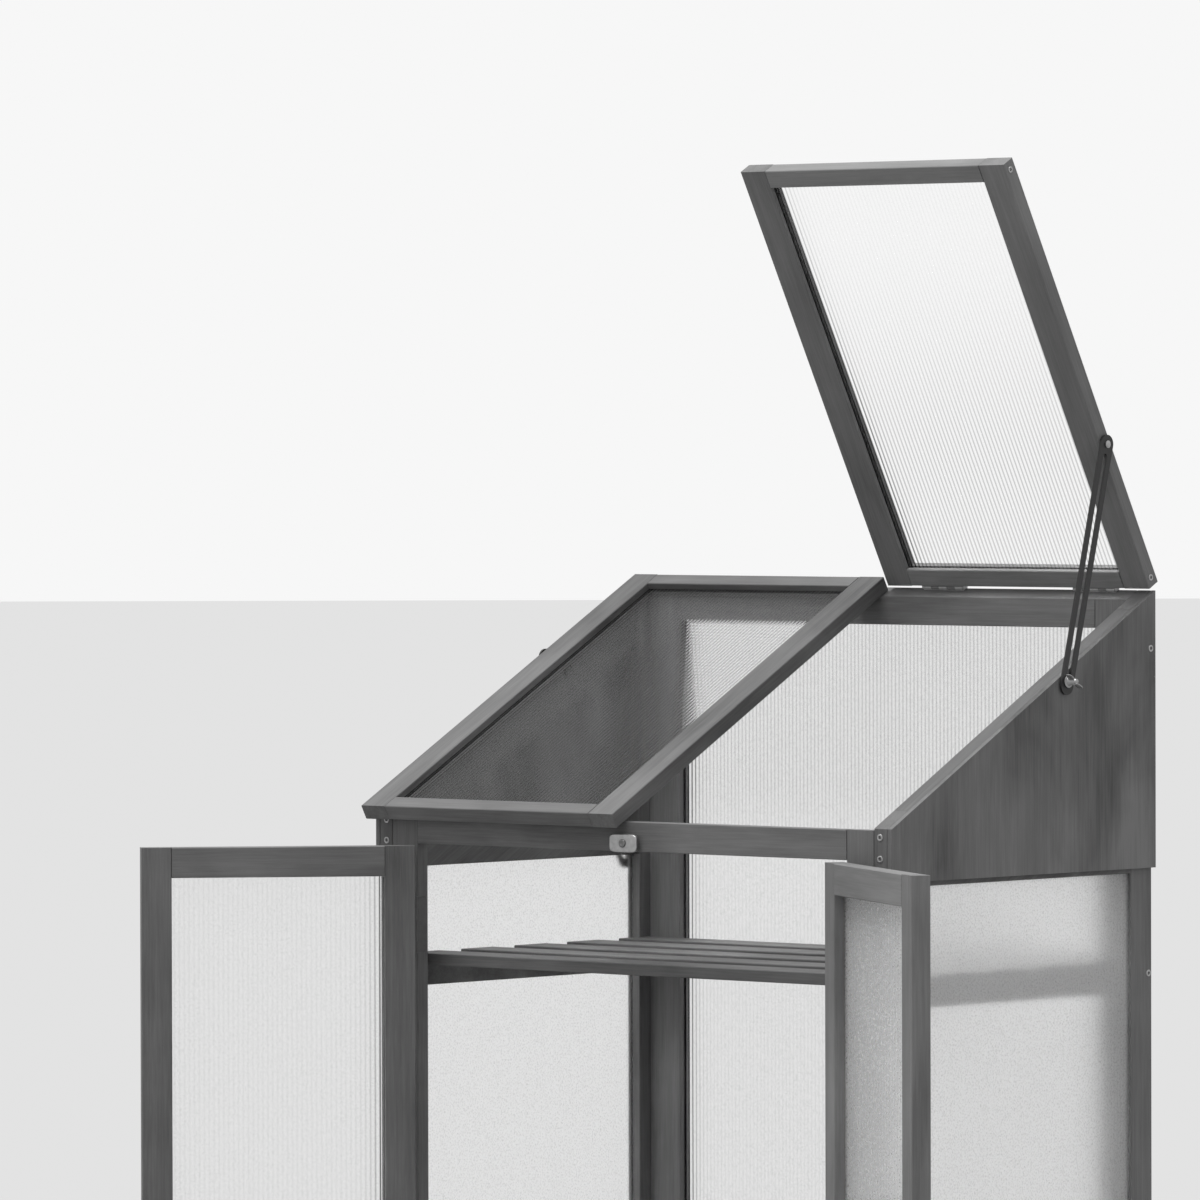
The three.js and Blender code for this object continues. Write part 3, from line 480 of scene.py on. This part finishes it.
# All the timber has one slate-grey stain. The tones below differ from finish to finish as painted light
# and shade. They are higher for parts that lie in shade: the back stiles in their corner, the inner faces
# of the open right door and the underside of the open right lid. They are lower for parts whose faces turn
# up to the top light: the slope rails, the closed left lid and the shelves.
TIMBER = [
    # name of the finish, tone with its painted light and shade, contrast, share of clouds, way of the
    # grain, starts of the nodes' names
    ("timber_post", 107, 1.0, 0.42, UP, ("front_post_",)),
    ("timber_front_rail", 106, 1.0, 0.42, ACROSS, ("front_top_rail", "front_bottom_rail")),
    ("timber_side_stile", 107, 1.0, 0.42, UP, ("side_left_front_stile", "side_right_front_stile",
                                               "side_left_back_stile", "side_right_back_stile")),
    ("timber_back_stile", 119, 1.0, 0.42, UP, ("back_stile_",)),
    ("timber_side_plank", 103, 1.5, 0.6, UP, ("side_left_gable_plank", "side_right_gable_plank")),
    ("timber_slope_rail", 95, 1.1, 0.42, LEFT_SLOPE, ("side_left_slope_rail", "side_right_slope_rail")),
    ("timber_low_rail", 106, 1.0, 0.42, DEEP, ("side_left_bottom_rail", "side_right_bottom_rail")),
    ("timber_back_rail", 112, 1.0, 0.42, ACROSS, ("back_top_rail", "back_bottom_rail")),
    ("timber_shelf", 90, 1.0, 0.42, ACROSS, ("upper_shelf", "lower_shelf")),
    ("timber_left_door_stile", 106, 1.0, 0.42, UP, ("door_left_hinge_stile", "door_left_free_stile")),
    ("timber_right_door_stile", 116, 1.0, 0.42, UP, ("door_right_hinge_stile", "door_right_free_stile")),
    ("timber_left_door_rail", 108, 1.0, 0.42, LEFT_DOOR_ALONG,
     ("door_left_top_rail", "door_left_bottom_rail")),
    ("timber_right_door_rail", 122, 1.0, 0.42, RIGHT_DOOR_ALONG,
     ("door_right_top_rail", "door_right_bottom_rail")),
    ("timber_left_lid_stile", 97, 1.2, 0.42, LEFT_SLOPE,
     ("lid_left_outer_stile", "lid_left_inner_stile")),
    ("timber_left_lid_rail", 101, 1.0, 0.42, ACROSS, ("lid_left_back_rail", "lid_left_front_rail")),
    ("timber_right_lid_stile", 119, 1.0, 0.42, RIGHT_SLOPE,
     ("lid_right_outer_stile", "lid_right_inner_stile")),
    ("timber_right_lid_rail", 131, 1.0, 0.42, ACROSS, ("lid_right_back_rail", "lid_right_front_rail")),
]
for seed, (finish, tone_with_painted_light, contrast, cloudy, along, starts) in enumerate(TIMBER):
    across = UP if along in (ACROSS, LEFT_DOOR_ALONG, RIGHT_DOOR_ALONG) else ACROSS
    material = stained_timber(finish, tone_with_painted_light, along, across, seed, contrast, cloudy)
    for name, piece in nodes.items():
        if name.startswith(starts):
            paint(piece, material)

# Name, sRGB grey, roughness and metallic share of each metal
black_steel = metal("black_steel", 46, 0.42, 0.4)
slate_steel = metal("slate_steel", 96, 0.55, 0.2)
pale_steel = metal("pale_steel", 190, 0.5, 0.3)
zinc = metal("bright_zinc", 160, 0.36, 0.85)
disc_steel = metal("disc_steel", 118, 0.45, 0.7)
screw_zinc = metal("screw_zinc", 165, 0.38, 0.7, "recess")
bolt_zinc = metal("bolt_zinc", 160, 0.36, 0.7, "inner_end")
for name, piece in nodes.items():
    if "_hinge_lower" in name or "_hinge_upper" in name:
        paint(piece, slate_steel)
    elif "_hinge_inner" in name or "_hinge_outer" in name:
        paint(piece, pale_steel)
    elif name.endswith("pivot_screw"):
        paint(piece, zinc)
    elif name.startswith("stay_"):
        paint(piece, black_steel)

EVEN = (0, 1, 1)
SHEETS = [
    # name of the piece, CAD node, way across the ribs, way along them, body,
    # haze, roughness, bend, tint, strength of the webs, of the specks, and of the painted refraction of
    # the stile in the webs beside it, and how the webs grow along the sheet
    ("left_side_sheet", "side_left_panel", DEEP, UP, "frame",
     0.06, 0.5, 1.12, 0.0, 0.0, 1.3, 0, EVEN),
    ("right_side_sheet", "side_right_panel", DEEP, UP, "frame",
     0.19, 0.62, 1.17, 0.0, 0.03, 1.2, 0, EVEN),
    ("back_sheet", "back_panel", ACROSS, UP, "frame",
     0.02, 0.1, 1.12, 0.0, 0.13, 0.8, 2.5, (0.7, 0.8, 3.9)),
    ("left_door_sheet", "door_left_panel", LEFT_DOOR_ALONG, UP, "door_left",
     0.03, 0.12, 1.14, 0.0, 0.1, 0.7, 1.5, EVEN),
    ("right_door_sheet", "door_right_panel", RIGHT_DOOR_ALONG, UP, "door_right",
     0.24, 0.3, 1.2, 0.0, 0.35, 1.7, 0, EVEN),
    ("left_lid_sheet", "lid_left_panel", ACROSS, LEFT_SLOPE, "lid_left",
     0.016, 0.02, 1.05, 0.12, 0.3, 0.8, 0.5, EVEN),
    ("right_lid_sheet", "lid_right_panel", ACROSS, RIGHT_SLOPE, "lid_right",
     0.01, 0.05, 1.08, 0.0, 0.12, 0.25, 2.5, (0.1, 0.75, 5.5)),
]
for name, solid, across, along, body, *finish in SHEETS:
    piece = ribbed_sheet(name, solid, across, along, body)
    paint(piece, twin_wall("twin_wall_" + name, *turned_box(solid, across, along), *finish))


# Screws

# Profile of a pan head from its foot over the rim and the dome into the recess, as shares
HEAD_RADIUS_SHARES = np.array([0, 1, 1, 0.94, 0.8, 0.62, 0.5, 0.38, 0.2, 0])
HEAD_RISE_SHARES = np.array([0, 0, 0.5, 0.8, 1, 1, 0.7, 0.1, -0.1, -0.1])
HEAD_LOBE_SHARES = np.array([0, 0, 0, 0, 0, 0, 0.3, 0.35, 0.1, 0])
RECESS_RADIUS_SHARE = 0.6
HEAD_SEGMENTS = 20
SCREW_RISE = 0.7 * MM
SCREW_FOOT = 0.5 * MM

# A way to the side along which no screw runs
HEAD_SIDE = (0.3, 0.5, 0.8)


def screw_heads(name, body, places):
    """Pan heads with a cross recess, one for each (centre, way outwards, radius)."""
    foot = np.where(HEAD_RISE_SHARES == 0, -SCREW_FOOT, HEAD_RISE_SHARES * SCREW_RISE)
    # Painted shade: the cross recess of each head is darkened, standing in for the shade inside it
    recess_shade = np.clip((1 - HEAD_RISE_SHARES) * (HEAD_RADIUS_SHARES < RECESS_RADIUS_SHARE), 0, 1)
    parts, darkness = [], []
    for centre, outward, radius in places:
        profile = np.stack([HEAD_RADIUS_SHARES * radius, foot], axis=-1)
        points, faces = turned(profile, HEAD_SEGMENTS, -HEAD_LOBE_SHARES * SCREW_RISE)
        parts.append((aimed(points, outward, HEAD_SIDE, centre), faces))
        darkness.append(np.concatenate([np.repeat(recess_shade[1:-1], HEAD_SEGMENTS), [0, 1]]))
    piece = new_piece(name, *gathered(parts))
    darken(piece, "recess", np.concatenate(darkness))
    paint(piece, screw_zinc)
    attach(piece, body)


WOOD_SCREW_RADIUS = 3.9 * MM
LID_SCREW_RADIUS = 3.6 * MM
HINGE_SCREW_RADIUS = 2.6 * MM

# Screws of the frame, in millimetres from the body's middle, front face and floor
FRONT_SCREW_X = 363.4
FRONT_SCREW_LEVELS = (813.6, 790.3, 77)
SIDE_SCREWS = ((380, 447.6, 1008.5), (374, 450.2, 647.5), (374, 450.2, 144.5), (374, 450.2, 77))

# Screws of the lids and their hinges, from the middle, the ends and the faces of what they hold
HINGE_SCREW_SPREAD = 19 * MM
HINGE_SCREW_FROM_END = 8 * MM
LEAF_BEHIND_KNUCKLE = 4.7 * MM
LID_SCREW_FROM_END = 10 * MM
LID_SCREW_FROM_UNDER = 8 * MM

frame_screws = []
for sign in (-1, 1):
    for level in FRONT_SCREW_LEVELS:
        frame_screws.append((at(sign * FRONT_SCREW_X, 0, level), (0, -1, 0), WOOD_SCREW_RADIUS))
    for x, y, z in SIDE_SCREWS:
        frame_screws.append((at(sign * x, y, z), (sign, 0, 0), WOOD_SCREW_RADIUS))
screw_heads("frame_screws", "frame", frame_screws)

back_leaf_screws = []
leaf_middles = {"left": [], "right": []}
for side, middles in leaf_middles.items():
    for place in ("inner", "outer"):
        low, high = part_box(f"lid_{side}_hinge_{place}")
        middle_x = (low[0] + high[0]) / 2
        middles.append(middle_x)
        for x in (middle_x - HINGE_SCREW_SPREAD, middle_x, middle_x + HINGE_SCREW_SPREAD):
            centre = np.array([x, high[1], low[2] + HINGE_SCREW_FROM_END])
            back_leaf_screws.append((centre, (0, 1, 0), HINGE_SCREW_RADIUS))
screw_heads("back_leaf_screws", "frame", back_leaf_screws)

for side, sign, slope in (("left", -1, LEFT_SLOPE), ("right", 1, RIGHT_SLOPE)):
    axes, low, high = turned_box(f"lid_{side}_outer_stile", ACROSS, slope)
    outer = high[0] if sign > 0 else low[0]
    places = []
    for along in (low[1] + LID_SCREW_FROM_END, high[1] - LID_SCREW_FROM_END):
        centre = np.array([outer, along, low[2] + LID_SCREW_FROM_UNDER]) @ axes
        places.append((centre, (sign, 0, 0), LID_SCREW_RADIUS))
    axes, low, high = turned_box(f"lid_{side}_back_rail", ACROSS, slope)
    along, through = high[1] - LEAF_BEHIND_KNUCKLE, low[2] + HINGE_SCREW_FROM_END
    for x in leaf_middles[side]:
        for end in (-HINGE_SCREW_SPREAD, HINGE_SCREW_SPREAD):
            places.append((np.array([x + end, along, through]) @ axes, slope, HINGE_SCREW_RADIUS))
    screw_heads(f"lid_{side}_screws", f"lid_{side}", places)


# Wing bolts, measured from the inner end of the domed head

# How far the corners of the turned pieces are eased
EASE = 0.25 * MM
TURNED_SEGMENTS = 40

# Domed head as shares of its radius and height, then the shank, its washers and the hub of the nut
DOME_SHARES = ((0, 0), (0.6, 0.15), (0.9, 0.5), (1, 1))
DOME_RADIUS = 8 * MM
DOME_HEIGHT = 3 * MM
BOLT_RADIUS = 3 * MM
WASHER_RADIUS = 7 * MM
INNER_WASHER = (28.6 * MM, 29.2 * MM)
OUTER_WASHER = (32.3 * MM, 33.5 * MM)
HUB_RADIUS = 4.8 * MM
HUB_TOP_RADIUS = 3.8 * MM
HUB_TOP = 41.5 * MM
BOLT_TIP = 44.5 * MM
INNER_END_SHADE = 0.75

# Wings of the nut
WING_SPAN = 14 * MM
WING_WIDTH = 9 * MM
WING_THICK = 2.2 * MM
WING_LIFT = 3 * MM
WING_TILT = math.radians(55)
WING_TIP_SHARE = 0.995
WING_NECK_SHARE = 0.35
WING_STEPS = 20


def wing(out, along, centre):
    """One wing of a wing nut: an upright ellipse carried outwards from the hub to the tip.

    The share s runs from nought at the hub to nearly one at the tip. Half the height is half the width
    times the cube root of one less the cube of the size of 2 s - 1, and near the hub it is no less than
    the neck. Half the thickness is the plate's half thickness times the square root of one less the sixth
    power of s. The middle line rises evenly as far as s of a half, and then runs level.
    """
    s = np.linspace(0, WING_TIP_SHARE, WING_STEPS)
    turn = np.linspace(0, 2 * np.pi, WING_STEPS, endpoint=False)
    height = WING_WIDTH / 2 * np.cbrt(np.clip(1 - np.abs(2 * s - 1) ** 3, 0, 1))
    height = np.where(s < WING_NECK_SHARE, np.maximum(height, WING_WIDTH * WING_NECK_SHARE), height)
    half = WING_THICK / 2 * np.sqrt(1 - s ** 6)
    rise = WING_NECK_SHARE + (2 - 2 * WING_NECK_SHARE) * np.minimum(s, 0.5)
    middle = WING_LIFT + WING_WIDTH / 2 * rise
    far = HUB_TOP_RADIUS / 2 + (WING_SPAN - HUB_TOP_RADIUS / 2) * s
    points = np.stack([
        np.repeat(far[:, None], len(turn), axis=1),
        middle[:, None] + np.outer(height, np.cos(turn)),
        np.outer(half, np.sin(turn)),
    ], axis=-1).reshape(-1, 3)
    faces = grid_faces(len(s), len(turn), close_columns=True).tolist()
    faces.append(list(range(len(turn) - 1, -1, -1)))
    faces.append(list(range(len(points) - len(turn), len(points))))
    out, along = unit(out), unit(along)
    return points @ np.stack([out, along, np.cross(out, along)]) + centre, faces


def wing_bolt(side, sign):
    """Bolt through a plank, with a domed head inside, and two washers and a wing nut outside."""
    low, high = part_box(f"wing_bolt_{side}")
    inner_end = low[0] if sign > 0 else high[0]
    centre = np.array([inner_end, (low[1] + high[1]) / 2, (low[2] + high[2]) / 2])
    profile = [(radius * DOME_RADIUS, height * DOME_HEIGHT) for radius, height in DOME_SHARES] + [
        (BOLT_RADIUS, DOME_HEIGHT),
        (BOLT_RADIUS, INNER_WASHER[0]),
        (WASHER_RADIUS, INNER_WASHER[0]),
        (WASHER_RADIUS, INNER_WASHER[1]),
        (BOLT_RADIUS, INNER_WASHER[1]),
        (BOLT_RADIUS, OUTER_WASHER[0]),
        (WASHER_RADIUS, OUTER_WASHER[0]),
        (WASHER_RADIUS, OUTER_WASHER[1]),
        (HUB_RADIUS, OUTER_WASHER[1]),
        (HUB_TOP_RADIUS, HUB_TOP),
        (BOLT_RADIUS, HUB_TOP),
        (BOLT_RADIUS, BOLT_TIP),
        (0, BOLT_TIP),
    ]
    points, faces = turned(eased(profile, EASE), TURNED_SEGMENTS)
    outward = np.array([sign, 0, 0])
    hub = centre + outward * OUTER_WASHER[1]
    out = np.array([0, -math.sin(WING_TILT), math.cos(WING_TILT)])
    piece = new_piece(f"wing_nut_{side}", *gathered([
        (aimed(points, outward, DEEP, centre), faces),
        wing(out, outward, hub),
        wing(-out, outward, hub),
    ]))
    across = np.empty(len(piece.data.vertices) * 3)
    piece.data.vertices.foreach_get("co", across)
    across = (across.reshape(-1, 3) - centre) @ outward
    darken(piece, "inner_end", np.where(across < INNER_WASHER[0], INNER_END_SHADE, 0))
    paint(piece, bolt_zinc)
    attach(piece, "frame")
    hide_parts(f"wing_bolt_{side}")


wing_bolt("left", -1)
wing_bolt("right", 1)


# Turn button and its screw, measured forwards from the back end of the screw

FORWARDS = (0, -1, 0)
POST_STEM_RADIUS = 3 * MM
POST_HEAD_RADIUS = 5 * MM
POST_BACK_HEAD = 3 * MM
DISC_RADIUS = 10.5 * MM
DISC_STATIONS = (21.1 * MM, 24.3 * MM)
FRONT_HEAD_STATION = 29.4 * MM
POST_LENGTH = 31 * MM

# Front head: shares of its radius at the rounded rim, and at the mouth and the floor of its recess
POST_RIM_SHARE = 0.8
POST_MOUTH_SHARE = 0.45
POST_FLOOR_SHARE = 0.35

# Plate of the button
BUTTON_SQUARENESS = 5
BUTTON_SEGMENTS = 96
BUTTON_EDGE = 1.2 * MM
BUTTON_EDGE_STEPS = 7
BUTTON_FLAT_SHARE = 0.6


def turn_button_post():
    """Screw with a head at either end and a broad disc behind the button, turned about its axis."""
    low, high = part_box("turn_button_post")
    centre = np.array([(low[0] + high[0]) / 2, high[1], (low[2] + high[2]) / 2])
    profile = [
        (0, 0),
        (POST_HEAD_RADIUS, 0),
        (POST_HEAD_RADIUS, POST_BACK_HEAD),
        (POST_STEM_RADIUS, POST_BACK_HEAD),
        (POST_STEM_RADIUS, DISC_STATIONS[0]),
        (DISC_RADIUS, DISC_STATIONS[0]),
        (DISC_RADIUS, DISC_STATIONS[1]),
        (POST_STEM_RADIUS, DISC_STATIONS[1]),
        (POST_STEM_RADIUS, FRONT_HEAD_STATION),
        (POST_HEAD_RADIUS, FRONT_HEAD_STATION),
        (POST_HEAD_RADIUS * POST_RIM_SHARE, POST_LENGTH - EASE),
        (POST_HEAD_RADIUS * POST_MOUTH_SHARE, POST_LENGTH),
        (POST_HEAD_RADIUS * POST_FLOOR_SHARE, POST_LENGTH - SCREW_RISE),
        (0, POST_LENGTH - SCREW_RISE),
    ]
    points, faces = turned(eased(profile, EASE), TURNED_SEGMENTS)
    piece = new_piece("turn_button_screw", aimed(points, FORWARDS, ACROSS, centre), faces)
    paint(piece, disc_steel)
    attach(piece, "frame")
    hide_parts("turn_button_post")


def turn_button():
    """Plate with a rounded box for its plan, whose front edge is a quarter circle."""
    low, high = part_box("turn_button")
    centre = np.array([(low[0] + high[0]) / 2, high[1], (low[2] + high[2]) / 2])
    across, thick = (high[2] - low[2]) / 2, high[1] - low[1]
    long = (high[0] - low[0]) / (high[2] - low[2])
    slope = np.linspace(0, np.pi / 2, BUTTON_EDGE_STEPS)
    rim = np.stack([
        across - BUTTON_EDGE * (1 - np.cos(slope)),
        thick - BUTTON_EDGE * (1 - np.sin(slope)),
    ], axis=-1)
    profile = np.vstack([[(0, 0), (across, 0)], rim, [(across * BUTTON_FLAT_SHARE, thick), (0, thick)]])
    points, faces = turned(profile, BUTTON_SEGMENTS, long=long, squareness=BUTTON_SQUARENESS)
    piece = new_piece("turn_button_plate", aimed(points, FORWARDS, ACROSS, centre), faces)
    paint(piece, zinc)
    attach(piece, "turn_button")
    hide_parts("turn_button")


turn_button_post()
turn_button()


# Camera, with its place in millimetres from the body's middle, front face and floor

CAMERA_AT = at(6519.9, -7321.3, 1249.2)
CAMERA_YAW = math.radians(41.858)
CAMERA_PITCH = math.radians(1.075)
CAMERA_ROLL = math.radians(0.147)
FOCAL_PIXELS = 8908.5
PHOTO_PIXELS = 1200
SENSOR_WIDTH = 36
NEAREST, FARTHEST = 0.1, 400

level = Vector((math.cos(CAMERA_YAW), math.sin(CAMERA_YAW), 0))
level_forward = Vector((-math.sin(CAMERA_YAW), math.cos(CAMERA_YAW), 0))
forward = Vector((
    -math.sin(CAMERA_YAW) * math.cos(CAMERA_PITCH),
    math.cos(CAMERA_YAW) * math.cos(CAMERA_PITCH),
    -math.sin(CAMERA_PITCH),
))
right = level * math.cos(CAMERA_ROLL) + forward.cross(level) * math.sin(CAMERA_ROLL)
up = -forward.cross(right)
placed = Matrix((right, up, -forward)).transposed().to_4x4()
placed.translation = Vector(CAMERA_AT)
camera = bpy.data.objects.new("camera", bpy.data.cameras.new("camera"))
camera.data.sensor_width = SENSOR_WIDTH
camera.data.lens = FOCAL_PIXELS * SENSOR_WIDTH / PHOTO_PIXELS
camera.data.clip_start = NEAREST
camera.data.clip_end = FARTHEST
camera.matrix_world = placed
bpy.context.scene.collection.objects.link(camera)
bpy.context.scene.camera = camera


# Floor, studio and light

# The floor ends at this distance from the camera, in metres, which sets the height of the horizon
FLOOR_END_FROM_CAMERA = 66.57

# Brightness of the floor and the studio as seen, and as matt surfaces are lit by them
FLOOR_SEEN = 0.52
FLOOR_BOUNCED = 0.3
STUDIO_SEEN = 0.93
STUDIO_LIGHT = 0.55

TOP_LIGHT_FROM = (-0.12, -0.22, 0.97)
TOP_LIGHT_STRENGTH = 3
TOP_LIGHT_SOFTNESS = math.radians(40)


def seen_or_bounced(tree, output, seen, bounced):
    """Ends a tree in one shader, and in another where light bounces off a matt surface."""
    path = node(tree, "ShaderNodeLightPath")
    mix = node(tree, "ShaderNodeMixShader")
    out = node(tree, output)
    tree.links.new(path.outputs["Is Diffuse Ray"], mix.inputs["Fac"])
    tree.links.new(seen.outputs[0], mix.inputs[1])
    tree.links.new(bounced.outputs[0], mix.inputs[2])
    tree.links.new(mix.outputs[0], out.inputs["Surface"])


def even_shader(tree, kind, value, strength=None):
    """A shader of one even grey, with a strength where it gives light."""
    shader = node(tree, kind)
    shader.inputs["Color"].default_value = (value, value, value, 1)
    if strength is not None:
        shader.inputs["Strength"].default_value = strength
    return shader


floor_reach = FLOOR_END_FROM_CAMERA - math.hypot(CAMERA_AT[0], CAMERA_AT[1])
side_way, depth_way = level * floor_reach, level_forward * floor_reach
corners = [side_way * u + depth_way * v for u, v in ((-1, -1), (1, -1), (1, 1), (-1, 1))]
floor = new_piece("floor", corners, [(0, 1, 2, 3)], smooth=False)
pale_floor = bpy.data.materials.new("pale_floor")
pale_floor.use_nodes = True
tree = pale_floor.node_tree
tree.nodes.clear()
seen = even_shader(tree, "ShaderNodeBsdfDiffuse", FLOOR_SEEN)
bounced = even_shader(tree, "ShaderNodeBsdfDiffuse", FLOOR_BOUNCED)
seen_or_bounced(tree, "ShaderNodeOutputMaterial", seen, bounced)
paint(floor, pale_floor)

studio = bpy.data.worlds.new("studio")
bpy.context.scene.world = studio
studio.use_nodes = True
tree = studio.node_tree
tree.nodes.clear()
seen = even_shader(tree, "ShaderNodeBackground", STUDIO_SEEN, 1)
lit = even_shader(tree, "ShaderNodeBackground", 1, STUDIO_LIGHT)
seen_or_bounced(tree, "ShaderNodeOutputWorld", seen, lit)

top_light = bpy.data.objects.new("top_light", bpy.data.lights.new("top_light", "SUN"))
top_light.data.energy = TOP_LIGHT_STRENGTH
top_light.data.angle = TOP_LIGHT_SOFTNESS
top_light.rotation_mode = "QUATERNION"
top_light.rotation_quaternion = Vector(TOP_LIGHT_FROM).to_track_quat("Z", "Y")
bpy.context.scene.collection.objects.link(top_light)

bpy.context.scene.view_settings.view_transform = "Standard"
